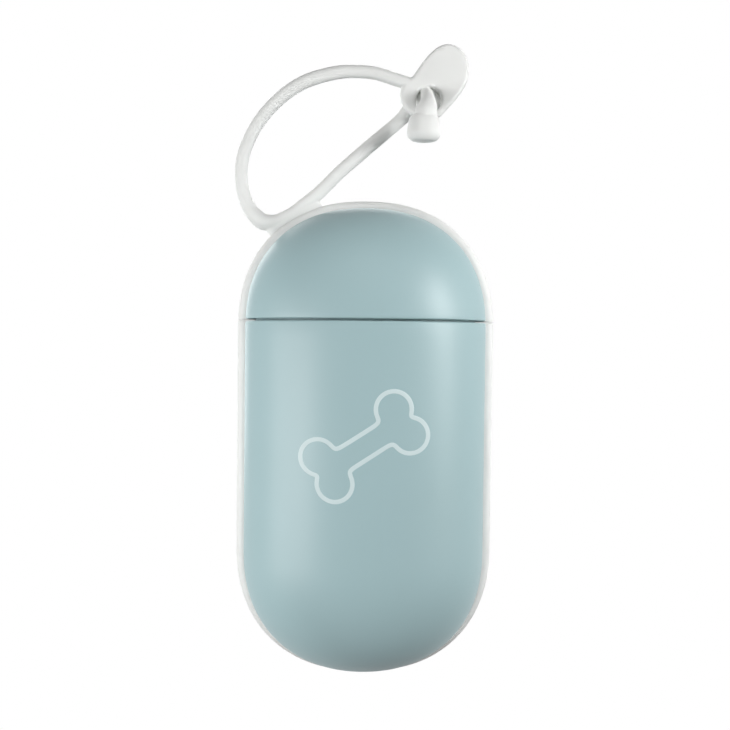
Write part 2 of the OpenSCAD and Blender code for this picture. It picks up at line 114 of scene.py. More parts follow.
# Points in the quarter round along an edge of a shell, and in that of a rim or lip
SHELL_STEPS, BAND_STEPS = 6, 5


# Meshes


def to_frame(points):
    """Metres in the frame: millimetres about the capsule's middle, scaled and moved to it."""
    return np.asarray(points, float) * MM + CENTRE


def turn(start, end, count):
    """Evenly spaced angles in radians, from degrees."""
    return np.radians(np.linspace(start, end, count))


def joined(parts):
    """Arrays that describe a line, one for each property, from parts of the line that give an
    array or a single number for each property."""
    return np.concatenate([np.stack(np.broadcast_arrays(*part)) for part in parts], 1)


def closed(grid):
    """A grid whose rows go all the way round: its first row is repeated at its end."""
    return np.concatenate([grid, grid[:1]])


def grid_faces(rows, cols, start):
    """Quads of a grid: each point joins its right and upper neighbours, and the last column joins
    the first."""
    row, col = np.meshgrid(np.arange(rows - 1), np.arange(cols), indexing="ij")
    right, low, high = (col + 1) % cols, row * cols, (row + 1) * cols
    quads = np.stack([low + col, low + right, high + right, high + col], -1)
    return quads.reshape(-1, 4) + start


def add_object(name, data):
    """A new object of the scene, at the origin."""
    obj = bpy.data.objects.new(name, data)
    bpy.context.scene.collection.objects.link(obj)
    return obj


def merge_doubles(mesh, distance, tidy=False):
    """Merges points closer than a distance in mm. If tidy, also drops faces without area and turns
    the rest outwards."""
    bm = bmesh.new()
    bm.from_mesh(mesh)
    bmesh.ops.remove_doubles(bm, verts=bm.verts, dist=distance * MM)
    if tidy:
        bmesh.ops.dissolve_degenerate(bm, edges=bm.edges, dist=0.2 * distance * MM)
        bmesh.ops.recalc_face_normals(bm, faces=bm.faces)
    bm.to_mesh(mesh)
    bm.free()


def finish_piece(name, mesh, body, recipe, replaced, crease):
    """The object of a mesh, shaded smoothly up to the crease angle, with its material and body.
    It hides the CAD nodes that it stands for."""
    mesh.polygons.foreach_set("use_smooth", [True] * len(mesh.polygons))
    mesh.set_sharp_from_angle(angle=math.radians(crease))
    mesh.materials.clear()
    mesh.materials.append(material(recipe))
    obj = add_object(name, mesh)
    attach(obj, body)
    if replaced:
        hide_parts(*replaced)
    return obj


def piece(name, grids, body, recipe, replaced=(), crease=40):
    """One object of several grids, its poles and the ends of its rings merged."""
    points, faces, start = [], [], 0
    for grid in grids:
        rows, cols = grid.shape[:2]
        points.append(to_frame(grid).reshape(-1, 3))
        faces.append(grid_faces(rows, cols, start))
        start += rows * cols
    mesh = bpy.data.meshes.new(name)
    mesh.from_pydata(np.concatenate(points).tolist(), [], np.concatenate(faces).tolist())
    merge_doubles(mesh, 0.002, tidy=True)
    return finish_piece(name, mesh, body, recipe, replaced, crease)


# Outline of the capsule


def half_width(radius, z):
    """Half the width of the capsule's outline at a height: the radius along its straight sides, and
    past them the curve on which the powers of width and height over the radius add up to 1."""
    over = np.clip(np.abs(z) - SPINE, 0, None) / radius
    return radius * np.clip(1 - over**SHOULDER, 0, None) ** (1 / SHOULDER)


def squared(points):
    """Moves points near the edge of a round-ended capsule out to its squarer outline: each one goes
    outwards by the ratio of the two outlines, in full at the edge and not at all inside the
    radius ROUND_INSIDE, smoothly between."""
    x, y, z = points.T
    over = np.clip(np.abs(z) - SPINE, 0, None)
    # A hair is added, so that the middle line has no radius of zero to divide by
    radius = np.hypot(x, over) + 1e-9
    reach = (np.abs(x / radius) ** SHOULDER + (over / radius) ** SHOULDER) ** (-1 / SHOULDER)
    share = np.clip((radius - ROUND_INSIDE) / (CAPSULE_R - ROUND_INSIDE), 0, 1)
    grow = 1 + (reach - 1) * share**2 * (3 - 2 * share)
    return np.stack([x * grow, y, z + np.sign(z) * over * (grow - 1)], -1)


def levels(radius, way, end, dome_rows, side_rows):
    """Heights of rows from the pole at this end (+1 top, -1 bottom) to a height at the seam, for
    columns of these radii. On the dome, equal angles; down the straight side, equal steps."""
    pole = way * (SPINE + radius)
    last = 90 if way < 0 else math.degrees(math.acos((SEAM - SPINE) / CAPSULE_R))
    dome_end = np.full_like(pole, -SPINE if way < 0 else end)
    part = (1 - np.cos(turn(0, last, dome_rows))) / (1 - math.cos(math.radians(last)))
    rows = pole + (dome_end - pole) * part[:, None]
    if way > 0:
        return rows
    steps = np.linspace(0, 1, side_rows + 1)[1:, None]
    return np.concatenate([rows, dome_end + (end - dome_end) * steps])


def rounded_off(rows, way, end, edge, angles):
    """Heights of rows with those of a quarter round added, up to the end's height, and one more
    for the row that closes the end."""
    rounding = end + way * edge * (1 - np.sin(np.append(angles, math.pi / 2)))
    return np.concatenate([rows, np.repeat(rounding[:, None], rows.shape[1], 1)])


# Shells and rims


def shell_section(alphas):
    """Columns of a front shell's section, once round it, from the parting edge over the outside and
    back inside: angle, shares of edge rounding and wall that it lies in, share of the skirt's
    length, and share of the edge rounding that it lies back."""
    quarter = turn(0, 90, SHELL_STEPS)
    skirt = np.linspace(1, 0, 4)[1:]
    flat = np.array([1, 0.5, 0])
    return joined([
        (0, 1 - np.sin(quarter), 0, 1, np.cos(quarter) - 1),
        (0, 0, 0, skirt, -skirt),
        (alphas, 0, 0, 0, 0),
        (math.pi, 0, 0, skirt[::-1], -skirt[::-1]),
        (math.pi, 1 - np.sin(quarter[::-1]), 0, 1, np.cos(quarter[::-1]) - 1),
        (math.pi, 0, 1, flat, 0),
        (alphas[::-1], 0, 1, 0, 0),
        (0, 0, 1, flat[::-1], 0),
    ])


def front_shell(way, end, edge):
    """Points of a front shell: half an ellipse across the capsule, from its pole to the seam.

    A point is (X cos a, skirt - D sin a, z), where X is the outline's half width at z, and D the
    depth in the same proportion. The inside is the same form, drawn in by the wall. Rows go from
    the pole to the seam, round its edge, and close on the middle of the wall.
    """
    # Angles across the front, closer together beside the parting edge on either side
    alphas = np.unique(np.concatenate([turn(0, 180, 145), turn(0, 8, 9), turn(172, 180, 9)]))
    angle, in_edge, in_wall, skirt_share, back_share = shell_section(alphas)
    share = (in_edge * edge + in_wall * WALL) / WALL
    rows = levels(CAPSULE_R - WALL * share, way, end + way * edge, dome_rows=44, side_rows=14)
    quarter = turn(0, 90, SHELL_STEPS)[1:]
    z = rounded_off(rows, way, end, edge, quarter)
    rounding = edge * (1 - np.cos(quarter))
    outer = np.concatenate([np.zeros(len(rows)), rounding, [WALL / 2]])[:, None]
    inner = np.append(np.full(len(outer) - 1, WALL), WALL / 2)[:, None]
    inset = outer + (inner - outer) * share
    radius = CAPSULE_R - inset
    x_half = half_width(radius, z)
    deep = (FRONT_DEPTH - inset) * x_half / radius
    lying_back = SKIRT * skirt_share + edge * back_share * ((inner - outer) / WALL)
    return np.stack([x_half * np.cos(angle), lying_back - deep * np.sin(angle), z], -1)


def band(profile, way, end, edge=0.2):
    """Points of a band that follows the capsule's outline: a profile of (distance, y) carried
    from one side of the seam round the pole to the other, its ends rounded off and closed."""
    rho, y = np.array(profile, float).T
    size = min(np.ptp(rho), np.ptp(y)) / 2
    rows = levels(rho, way, end + way * edge, dome_rows=48, side_rows=16)
    quarter = turn(0, 90, BAND_STEPS)[1:]
    z = rounded_off(rows, way, end, edge, quarter)
    rounding = edge / size * (1 - np.cos(quarter))
    keep = np.concatenate([np.ones(len(rows)), 1 - rounding, [0]])[:, None]
    rho, y = ((v.min() + v.max()) / 2 * (1 - keep) + v * keep for v in (rho, y))
    right = np.stack([half_width(rho, z), y, z], -1)
    return np.concatenate([(right * [-1, 1, 1])[::-1], right[1:]])


def rounded_box(lo, hi, radii, count):
    """A closed outline of a rectangle whose corners have their own radii, anticlockwise from the
    lower left: each corner is a quarter circle about its own centre."""
    corners = [(lo[0], lo[1], 180), (hi[0], lo[1], 270), (hi[0], hi[1], 0), (lo[0], hi[1], 90)]
    points = []
    for (x, y, first), radius in zip(corners, radii):
        cx = x + radius if x == lo[0] else x - radius
        cy = y + radius if y == lo[1] else y - radius
        quarter = turn(first, first + 90, count)
        points.append(np.stack([cx + radius * np.cos(quarter), cy + radius * np.sin(quarter)], -1))
    return np.concatenate(points)


def half_ring(profile, y_end):
    """Points of a wall inside the front half: rows go from one side, round the ellipse, to the
    other; columns go round a profile of (inset, height). The ends close on the wall's middle."""
    inset, z = np.array(profile, float).T
    straight = np.linspace(y_end, 0, 6)[:-1]
    angle, lead = joined([(0, straight), (turn(0, 180, 97), 0), (math.pi, straight[::-1])])
    angle, lead = angle[:, None], lead[:, None]
    radius = CAPSULE_R - inset
    x_half = half_width(radius, z)
    deep = (FRONT_DEPTH - inset) * x_half / radius
    grid = np.stack([np.cos(angle) * x_half, lead - np.sin(angle) * deep, z + 0 * angle], -1)
    caps = [np.broadcast_to(row.mean(0), (1, *row.shape)) for row in (grid[0], grid[-1])]
    return np.concatenate([caps[0], grid, caps[1]])


def lathe(profile, at, axis="z", count=40):
    """Points of a turned piece: a profile of (radius, height) swung round an upright axis, or one
    that points back (y), about a place."""
    radius, height = np.array(profile, float).T
    angles = turn(0, 360, count + 1)[:-1]
    right = radius[:, None] * np.cos(angles)
    square = radius[:, None] * np.sin(angles)
    along = np.repeat(height[:, None], count, 1)
    parts = [right, square, along] if axis == "z" else [right, along, square]
    return np.stack(parts, -1) + np.array(at, float)


# Profile of the collar: (inset, height). Profile of the pedestal under the roll: (radius, height).
COLLAR = [
    (1.7, 21.7), (1.7, CASE_END - 0.1), (1.8, CASE_END), (2.1, CASE_END), (2.1, 26.9),
    (2.2, 27.12), (2.4, COLLAR_TOP), (3.0, COLLAR_TOP), (3.22, 27.1), (3.3, 26.9), (3.3, 21.7),
]
PEDESTAL = [(0, -45.5), (6, -45.5), (6, -34.9), (5.8, -34.72), (0, -34.72)]
# Bosses stand in pairs, left and right. Magnets: distance from the middle, y, and length of the
# boss in case and lid. Screws: distance from the middle, height and length.
MAGNET_X, MAGNET_Y = 18.24, -1.3
CASE_MAGNET, LID_MAGNET = 5, 11
CASE_SCREWS = ((18.7, 13, 11.5), (11, -38.5, 12))
LID_SCREW = (12.5, 31, 14.5)


def magnet_boss(x, end, way, length, radius=2.6, pocket=2.05, deep=2.05):
    """Points of a boss round a magnet: a turned cup of this radius, whose pocket of its own radius
    and depth opens towards the seam."""
    profile = [(0, length), (radius, length), (radius, 0.15), (radius - 0.15, 0),
               (pocket + 0.03, 0), (pocket, 0.05), (pocket, deep), (0, deep)]
    return lathe([(radius, end + way * h) for radius, h in profile], (x, MAGNET_Y, 0))


def screw_boss(x, z, length, radius=2.3, pilot=1.05, end_wall=2):
    """Points of a screw boss: a turned post of this radius behind the front shell, with a pilot
    hole that stops short of it by the end wall."""
    profile = [(0, -length), (radius, -length), (radius, -0.15), (radius - 0.15, 0),
               (pilot + 0.1, 0), (pilot, -0.1), (pilot, -length + end_wall),
               (0, -length + end_wall)]
    return lathe(profile, (x, LIP_BACK, z), "y")


def back_shell(name, node, body):
    """A back shell as a new piece, from its CAD node's own solid: its loose triangles merged, its
    edge drawn out to the capsule's squarer outline, and its curved faces shaded smoothly."""
    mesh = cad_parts[node].data.copy()
    mesh.name = name
    merge_doubles(mesh, 0.001)
    points = np.empty(len(mesh.vertices) * 3)
    mesh.vertices.foreach_get("co", points)
    points = squared((points.reshape(-1, 3) - CENTRE) / MM)
    mesh.vertices.foreach_set("co", to_frame(points).ravel())
    obj = finish_piece(name, mesh, body, soft_touch_abs, [node], crease=32)
    flat_first = obj.modifiers.new("weighted normals", "WEIGHTED_NORMAL")
    flat_first.weight, flat_first.keep_sharp = 95, True


# Materials


def colour(code):
    """Linear RGBA of an sRGB hex value, such as 'a0babe'."""
    srgb = np.array([int(code[i:i + 2], 16) for i in (0, 2, 4)]) / 255
    linear = np.where(srgb <= 0.04045, srgb / 12.92, ((srgb + 0.055) / 1.055) ** 2.4)
    return (*linear.tolist(), 1.0)


def empty_tree(owner):
    """The node tree of a material or world, emptied."""
    owner.use_nodes = True
    owner.node_tree.nodes.clear()
    return owner.node_tree


def add_node(tree, kind, inputs=None, **settings):
    """Adds a node with its settings, its values and the links into it."""
    node = tree.nodes.new(kind)
    for key, value in settings.items():
        setattr(node, key, value)
    for key, value in (inputs or {}).items():
        if isinstance(value, bpy.types.NodeSocket):
            tree.links.new(value, node.inputs[key])
        else:
            node.inputs[key].default_value = value
    return node


def surface(name, low, high, drift_mm, rough, bump, fine_mm, stretch=(1, 1, 1), **fixed):
    """A material whose colour drifts between two hex values over one length in mm, and whose
    roughness and bump follow a finer one, half as deep as it is wide. fixed holds constants of the
    shader, by socket name with underscores for spaces."""
    made = bpy.data.materials.new(name)
    tree = empty_tree(made)
    place = add_node(tree, "ShaderNodeTexCoord").outputs["Object"]
    mapped = add_node(tree, "ShaderNodeMapping", {"Vector": place, "Scale": stretch}).outputs[0]
    drift = add_node(tree, "ShaderNodeTexNoise", {
        "Vector": mapped, "Scale": 1 / (drift_mm * MM), "Detail": 3.0, "Roughness": 0.5,
    }).outputs["Fac"]
    mixed = add_node(tree, "ShaderNodeMix", {
        "Factor": drift, "A": colour(low), "B": colour(high),
    }, data_type="RGBA").outputs["Result"]
    fine = add_node(tree, "ShaderNodeTexNoise", {
        "Vector": mapped, "Scale": 1 / (fine_mm * MM), "Detail": 2.0,
    }).outputs["Fac"]
    spread = add_node(tree, "ShaderNodeMapRange", {
        "Value": fine, "From Min": 0.3, "From Max": 0.7, "To Min": rough[0], "To Max": rough[1],
    }).outputs[0]
    relief = add_node(tree, "ShaderNodeBump", {
        "Height": fine, "Strength": bump, "Distance": fine_mm * MM * 0.5,
    }).outputs[0]
    shader = add_node(tree, "ShaderNodeBsdfPrincipled", {
        "Base Color": mixed, "Roughness": spread, "Normal": relief,
        **{key.replace("_", " "): value for key, value in fixed.items()},
    }).outputs[0]
    add_node(tree, "ShaderNodeOutputMaterial", {"Surface": shader})
    return made


def soft_touch_abs():
    """ABS with a soft matte coat: an even dusty colour and broad faint highlights. The coat's grain
    is really under 0.1 mm, and is drawn wider so that it shows."""
    look = bpy.context.scene.dispenser_look
    return surface(
        "soft_touch_abs", look.shell_low, look.shell_high, drift_mm=18, rough=(0.4, 0.46),
        bump=0.05, fine_mm=0.4, IOR=1.5, Specular_IOR_Level=0.42)


def moulded_silicone():
    """Moulded silicone of rims, strap and grommet: matte and milky, with a soft wide sheen and
    light that spreads inside it. The mould's grain is drawn wider than it is, so that it shows."""
    look = bpy.context.scene.dispenser_look
    return surface(
        "moulded_silicone", look.silicone_low, look.silicone_high, drift_mm=9, rough=(0.5, 0.6),
        bump=0.03, fine_mm=0.7, IOR=1.41, Subsurface_Weight=0.6, Subsurface_Radius=(1, 1, 1),
        Subsurface_Scale=2 * MM)


def moulded_acetal():
    """Injection-moulded acetal of the hub: off-white and slightly waxy. The mould's grain is drawn
    wider than it is, so that it shows."""
    return surface(
        "moulded_acetal", "d9dad6", "e4e4e0", drift_mm=6, rough=(0.35, 0.45), bump=0.05,
        fine_mm=0.3, IOR=1.53)


def zinc_plated_steel():
    """Zinc-plated steel of screws and pin: bright, with a fine grain from the plating, drawn wider
    than it is so that it shows."""
    return surface(
        "zinc_plated_steel", "b9bdc0", "cfd2d4", drift_mm=1.5, rough=(0.22, 0.34), bump=0.04,
        fine_mm=0.12, Metallic=1.0)


def nickel_plate():
    """Nickel-plated magnets: a warm, even shine. The plating's grain is drawn wider than it is, so
    that it shows."""
    return surface(
        "nickel_plate", "bdb9b0", "cbc7be", drift_mm=2, rough=(0.16, 0.24), bump=0.03,
        fine_mm=0.1, Metallic=1.0)


def core_board():
    """Brown board of the roll's core: mottled with fibres and wholly matte."""
    return surface(
        "core_board", "a88f6c", "c4ab86", drift_mm=1.2, rough=(0.8, 0.95), bump=0.3, fine_mm=0.4,
        IOR=1.45)


def wound_film():
    """Low-density polyethylene film, wound tight: upright streaks and a waxy shine."""
    return surface(
        "wound_film", "3f6f78", "548891", drift_mm=5, rough=(0.3, 0.5), bump=0.25, fine_mm=0.5,
        stretch=(1, 1, 0.12), IOR=1.51)


def pale_ink():
    """Screen print in pale ink: a thin matte film, a little rougher than the coat under it. Its
    grain is drawn wider than it is, so that it shows."""
    return surface(
        "pale_ink", "c3d4d6", "cddcdd", drift_mm=4, rough=(0.5, 0.6), bump=0.05, fine_mm=0.2,
        IOR=1.5)


def material(recipe):
    """The material that one of the functions makes: made once, and then found by its name."""
    return bpy.data.materials.get(recipe.__name__) or recipe()


# Strap

# Root: its direction from the upper end of the spine, and the direction along the rim there
ROOT_ANGLE = math.radians(123)
OUTWARDS = np.array([math.cos(ROOT_ANGLE), 0, math.sin(ROOT_ANGLE)])
ALONG_RIM = np.array([-math.sin(ROOT_ANGLE), 0, math.cos(ROOT_ANGLE)])
# Stations of the root: radius from the spine's end, middle along the rim, half width and half
# thickness
ROOT = [
    (19.8, 0.3, 5.0, 1.2), (20.6, 0.3, 5.2, 1.4), (24, 0.3, 5.6, 1.45), (26.0, 0.2, 6.2, 1.5),
    (27.4, 0.1, 6.4, 1.5), (28.2, 0.2, 6.3, 1.5), (28.9, 0.6, 5.9, 1.45), (29.4, 1.0, 5.0, 1.35),
    (29.8, 1.2, 4.2, 1.2),
]

# Depths of the strands' middles: over the rim, in the tab, and behind the tab
RIM_Y, TAB_Y, BEHIND_TAB = 3.5, 2.3, 5.7
# Centre lines of the two strands: x, y, z and radius. The first leaves the tab, goes over the top
# and down the left side, and runs along the rim; the second runs along the rim too, then up behind
# the tab, through its eyelet to the front and down into the knob.
LONG_STRAND = [
    [9.6, TAB_Y, 74.3, 1.3], [6.2, TAB_Y + 0.3, 75.4, 1.36], [1.4, 3.0, 76.9, 1.36],
    [-3, 3.3, 77.3, 1.35], [-7.1, RIM_Y, 77.0, 1.42], [-12.4, RIM_Y, 75.5, 1.45],
    [-16.4, RIM_Y, 73.3, 1.42], [-20.0, RIM_Y, 70.2, 1.4], [-22.95, RIM_Y, 66.6, 1.38],
    [-25.2, RIM_Y, 62.4, 1.36], [-26.5, RIM_Y, 57.9, 1.36], [-26.4, RIM_Y, 52.9, 1.36],
    [-25.0, RIM_Y, 48.7, 1.47], [-23.3, RIM_Y, 46.6, 1.68], [-21.6, RIM_Y, 45.5, 1.75],
    [-18.7, RIM_Y, 45.7, 1.55], [-16.0, RIM_Y, 47.15, 1.45], [-13.9, RIM_Y, 48.7, 1.42],
]
SHORT_STRAND = [
    [-18.7, RIM_Y, 45.75, 1.5], [-16.0, RIM_Y, 47.15, 1.45], [-13.4, RIM_Y, 49.1, 1.44],
    [-10.4, RIM_Y, 51.55, 1.42], [-8.0, 3.6, 54.0, 1.4], [-5.1, 3.9, 56.9, 1.4],
    [0.85, 4.8, 62.3, 1.43], [7.0, BEHIND_TAB, 67.8, 1.43], [10.8, 4.9, 71.8, 2.0],
    [13.6, 4.7, 71.6, 2.2], [13.1, 3.6, 72.0, 1.7], [12.4, TAB_Y, 72.4, 1.35],
    [12.3, 0.6, 71.8, 1.3], [12.35, -1.0, 70.5, 1.5], [12.3, -2.1, 69.0, 1.95],
    [12.0, -2.3, 67.6, 2.35], [11.6, -2.3, 65.5, 2.2],
]

# Outline of the eyelet tab from the front, anticlockwise from its upper left, and its round hole
TAB_EDGE = [
    (9.3, 76.1), (7.85, 75.0), (6.97, 73.6), (6.7, 71.8), (7.3, 70.0), (8.8, 68.2), (11.1, 67.2),
    (13.4, 67.0), (15.2, 67.8), (16.7, 69.4), (18.4, 71.3), (19.9, 73.3), (20.9, 75.5),
    (21.1, 78.1), (20.5, 80.3), (18.8, 82.2), (16.45, 82.85), (14.1, 81.9), (11.8, 79.6),
]
EYELET, EYELET_R = np.array([12.72, 71.05]), 2.7

# Knob of the toggle: its middle, and a profile of (radius, height)
KNOB_AT = np.array([11.58, -2.3, 64.4])
KNOB = [
    (0, 2.9), (1.5, 2.88), (2.45, 2.6), (2.95, 2.1), (3.2, 1.4), (3.4, 0.2), (3.5, -0.9),
    (3.42, -1.5), (3.05, -2.15), (2.45, -2.6), (1.6, -2.76), (0, -2.8),
]


def curve_points(knots, steps):
    """A smooth curve through knots [x, y, z, ...]: a cubic from each knot to the next, which passes
    every knot in the direction from the one before it to the one after it."""
    knots = np.array(knots, float)
    knots = np.concatenate([2 * knots[:1] - knots[1:2], knots, 2 * knots[-1:] - knots[-2:-1]])
    share = np.linspace(0, 1, steps + 1)[:-1, None, None]
    before, start, stop, after = knots[:-3], knots[1:-2], knots[2:-1], knots[3:]
    points = 0.5 * (2 * start + (stop - before) * share
                    + (2 * before - 5 * start + 4 * stop - after) * share**2
                    + (3 * start - before - 3 * stop + after) * share**3)
    return np.concatenate([points.transpose(1, 0, 2).reshape(-1, knots.shape[1]), knots[-2:-1]])


def tube(knots, side, steps=10, count=24):
    """Points of a round strand: circles of the knots' own radius, square to the curve, with round
    ends. side is a direction that the strand never takes."""
    path = curve_points(knots, steps)
    centre, radius = path[:, :3], path[:, 3]
    along = np.gradient(centre, axis=0)
    along /= np.linalg.norm(along, axis=1, keepdims=True)
    first = turn(0, 90, 6)[:-1]
    last = first[::-1]
    middles = np.concatenate([
        centre[:1] - along[:1] * radius[0] * np.cos(first)[:, None], centre[1:-1],
        centre[-1:] + along[-1:] * radius[-1] * np.cos(last)[:, None]])
    size = np.concatenate([radius[0] * np.sin(first), radius[1:-1], radius[-1] * np.sin(last)])
    ways = np.concatenate([np.repeat(along[:1], len(first), 0), along[1:-1],
                           np.repeat(along[-1:], len(last), 0)])
    across = np.cross(ways, side)
    across /= np.linalg.norm(across, axis=1, keepdims=True)
    up = np.cross(across, ways)
    angles = turn(0, 360, count + 1)[:-1]
    ring = (np.cos(angles)[None, :, None] * across[:, None, :]
            + np.sin(angles)[None, :, None] * up[:, None, :])
    return middles[:, None, :] + size[:, None, None] * ring


def tab_points(thick=2.5, edge=1.0, soft=0.6):
    """Points of the eyelet tab: a flat ring between a round hole and the tab's outline, its two
    edges rounded. Rows go round the hole; columns go over the hole's edge, across the back, over
    the outer edge, and back across the front. A ray's length to the outline is read off the
    smooth closed curve through the outline's points."""
    steps = 12
    outline = curve_points(TAB_EDGE + TAB_EDGE[:4], steps)[steps:-2 * steps] - EYELET
    bearing = np.arctan2(outline[:, 1], outline[:, 0]) % (2 * math.pi)
    order = np.argsort(bearing)
    angles = turn(0, 360, 121)[:-1]
    far = np.interp(angles, bearing[order], np.linalg.norm(outline, axis=1)[order],
                    period=2 * math.pi)[:, None] - edge
    near = EYELET_R + soft
    half = thick / 2
    inner, outer = turn(-90, 90, 9)[None, :], turn(90, -90, 13)[None, :]
    one = np.ones((len(angles), 1))
    reach = np.concatenate([
        one * (near - soft * np.cos(inner)), near + (far - near) * [[0.3, 0.6]],
        far + edge * np.cos(outer), near + (far - near) * [[0.6, 0.3]],
    ], 1)
    depth = np.concatenate([
        one * ((half - soft) * np.sign(inner.round(6)) + soft * np.sin(inner)), one * [[half] * 2],
        one * ((half - edge) * np.sign(outer.round(6)) + edge * np.sin(outer)), one * [[-half] * 2],
    ], 1)
    return closed(np.stack([EYELET[0] + np.cos(angles)[:, None] * reach, TAB_Y + depth,
                            EYELET[1] + np.sin(angles)[:, None] * reach], -1))


def root_points(power=0.7):
    """Points of the strap's root: soft-cornered ovals along the rim, from inside its slot out to
    where the strands leave. Across an oval, cosine and sine are raised to the power."""
    radial, middle, wide, thick = curve_points(ROOT, 5).T
    angles = turn(0, 360, 49)[:-1]
    cosine, sine = np.cos(angles), np.sin(angles)
    sideways = np.sign(cosine) * np.abs(cosine) ** power
    backwards = np.sign(sine) * np.abs(sine) ** power
    caps = np.concatenate([[0], np.ones(len(radial) - 2), [0]])
    lateral = middle[:, None] + (wide * caps)[:, None] * sideways
    points = (np.array([0, 0, SPINE]) + radial[:, None, None] * OUTWARDS
              + lateral[..., None] * ALONG_RIM)
    points[..., 1] = RIM_Y + (thick * caps)[:, None] * backwards
    return points


def knob_points(flat=0.8):
    """Points of the toggle's knob: a turned button with soft corners, widest below its middle, and
    flatter from front to back."""
    return lathe(curve_points(KNOB, 4), (0, 0, 0), count=56) * [1, flat, 1] + KNOB_AT


def blend_forms(obj, voxel_mm, rounds):
    """Fuses overlapping closed forms into one skin on a fine voxel grid, and softens the joins."""
    remesh = obj.modifiers.new("fuse", "REMESH")
    remesh.mode, remesh.voxel_size, remesh.use_smooth_shade = "VOXEL", voxel_mm * MM, True
    smooth = obj.modifiers.new("soften", "SMOOTH")
    smooth.factor, smooth.iterations = 0.5, rounds
    bpy.context.view_layer.update()
    fused = bpy.data.meshes.new_from_object(obj.evaluated_get(
        bpy.context.evaluated_depsgraph_get()))
    obj.modifiers.clear()
    separate, obj.data = obj.data, fused
    fused.materials.clear()
    fused.materials.append(separate.materials[0])
    bpy.data.meshes.remove(separate)
    fused.polygons.foreach_set("use_smooth", [True] * len(fused.polygons))


# Grommet, roll and print

# Outlet in the back: width, height, and height of its middle
OUTLET_W, OUTLET_H, OUTLET_Z = 6.0, 18.0, -6.0
# Section of the grommet: (distance out from the opening's edge, y), from its front face round
GROMMET = [
    (0.3, 17.02), (2.75, 17.02), (2.93, 17.2), (2.93, 17.55), (2.75, 17.74), (1.38, 17.78),
    (1.38, 18.84), (2.6, 18.84), (2.86, 18.92), (2.93, 19.1), (2.88, 19.3), (2.7, 19.46),
    (2.3, 19.55), (1.5, 19.58), (0.9, 19.55), (0.5, 19.44), (0.2, 19.2), (0.04, 18.85),
    (0, 18.4), (0, 17.5), (0.08, 17.15),
]


def grommet_points():
    """Points of the grommet: its section carried round a slot, which is two half circles whose
    centres lie apart, so a point is (r cos a, y, centre + r sin a) with r half the slot's width
    plus the distance out."""
    out, y = np.array(GROMMET).T
    angles = np.concatenate([turn(0, 180, 33), turn(180, 360, 33)])[:, None]
    centre = OUTLET_Z + (OUTLET_H - OUTLET_W) / 2 * np.repeat([1, -1], 33)[:, None]
    radius = OUTLET_W / 2 + out
    z = centre + radius * np.sin(angles)
    return closed(np.stack([radius * np.cos(angles), y + 0 * angles, z], -1))


# Roll of bags: heights of its ends, radii of bore and side, and width of one ripple at its ends
ROLL_LO, ROLL_HI = -32.5, 24.5
BORE_R, ROLL_R = 6.42, 14.72
RIPPLE = 0.62


def roll_points(ripple_deep=0.12, wander_deep=0.16, layer=0.2, crease_deep=0.03, soft=0.6):
    """Points of the wound bags: once round the section (bore, top, side, bottom) by once round the
    roll. The ends ripple in a spiral, one ripple a turn of film, and wander a little; the side's
    radius grows by one layer in a turn, so that the loose edge of the last bag stands as a step.
    Faint creases run down the side, which draws in over its soft last stretch at each end."""
    up, side = np.linspace(0, 1, 12), np.linspace(0, 1, 60)
    out = (ROLL_R - BORE_R) * np.linspace(0, 1, 84)[1:-1]
    length = ROLL_HI - ROLL_LO
    radius, height, end, on_side = joined([
        (BORE_R, ROLL_LO + length * up, 0, 0),
        (BORE_R + out, ROLL_HI, 1, 0),
        (ROLL_R, ROLL_HI - length * side, 0, 1),
        (ROLL_R - out, ROLL_LO, -1, 0),
    ])[..., None]
    angle = turn(0, 360, 145)[:-1]
    ripple = 0.5 + 0.5 * np.cos(2 * math.pi * radius / RIPPLE - angle)
    wander = 0.5 + 0.5 * np.sin(3 * angle + radius * 1.7) * np.sin(radius * 0.9 + angle)
    z = height - end * (ripple_deep * ripple + wander_deep * wander)
    step = layer * angle / (2 * math.pi)
    creases = np.sin(height * 0.9 + 2 * np.sin(angle * 2)) * np.sin(angle * 5 + height * 0.11)
    corner = np.clip(np.minimum(height - ROLL_LO, ROLL_HI - height) / soft, 0, 1)
    reach = radius + on_side * (step + crease_deep * creases - 0.25 * (1 - corner) ** 2)
    return closed(np.stack([reach * np.cos(angle), reach * np.sin(angle), z], -1))


def bone_line(lobe=3.5, apart=3.0, reach=8.6, shaft=2.3, tilt=33, eased=14):
    """Outline of a bone from the front: an arc round each of four lobes, joined by the shaft's two
    straight sides, with its corners eased by so many rounds of averaging, then tilted."""
    start, stop = -math.asin(apart / lobe), math.pi + math.asin((apart - shaft) / lobe)
    angles = np.linspace(start, stop, 60)
    quarter = np.stack([reach + lobe * np.cos(angles), apart + lobe * np.sin(angles)], -1)
    bar = np.linspace(quarter[-1], quarter[-1] * [-1, 1], 30)[1:-1]
    upper = np.concatenate([quarter, bar, quarter[::-1] * [-1, 1]])
    line = np.concatenate([upper, -upper])
    for _ in range(eased):
        line = (np.roll(line, 1, 0) + 2 * line + np.roll(line, -1, 0)) / 4
    cosine, sine = math.cos(math.radians(tilt)), math.sin(math.radians(tilt))
    return line @ np.array([[cosine, sine], [-sine, cosine]])


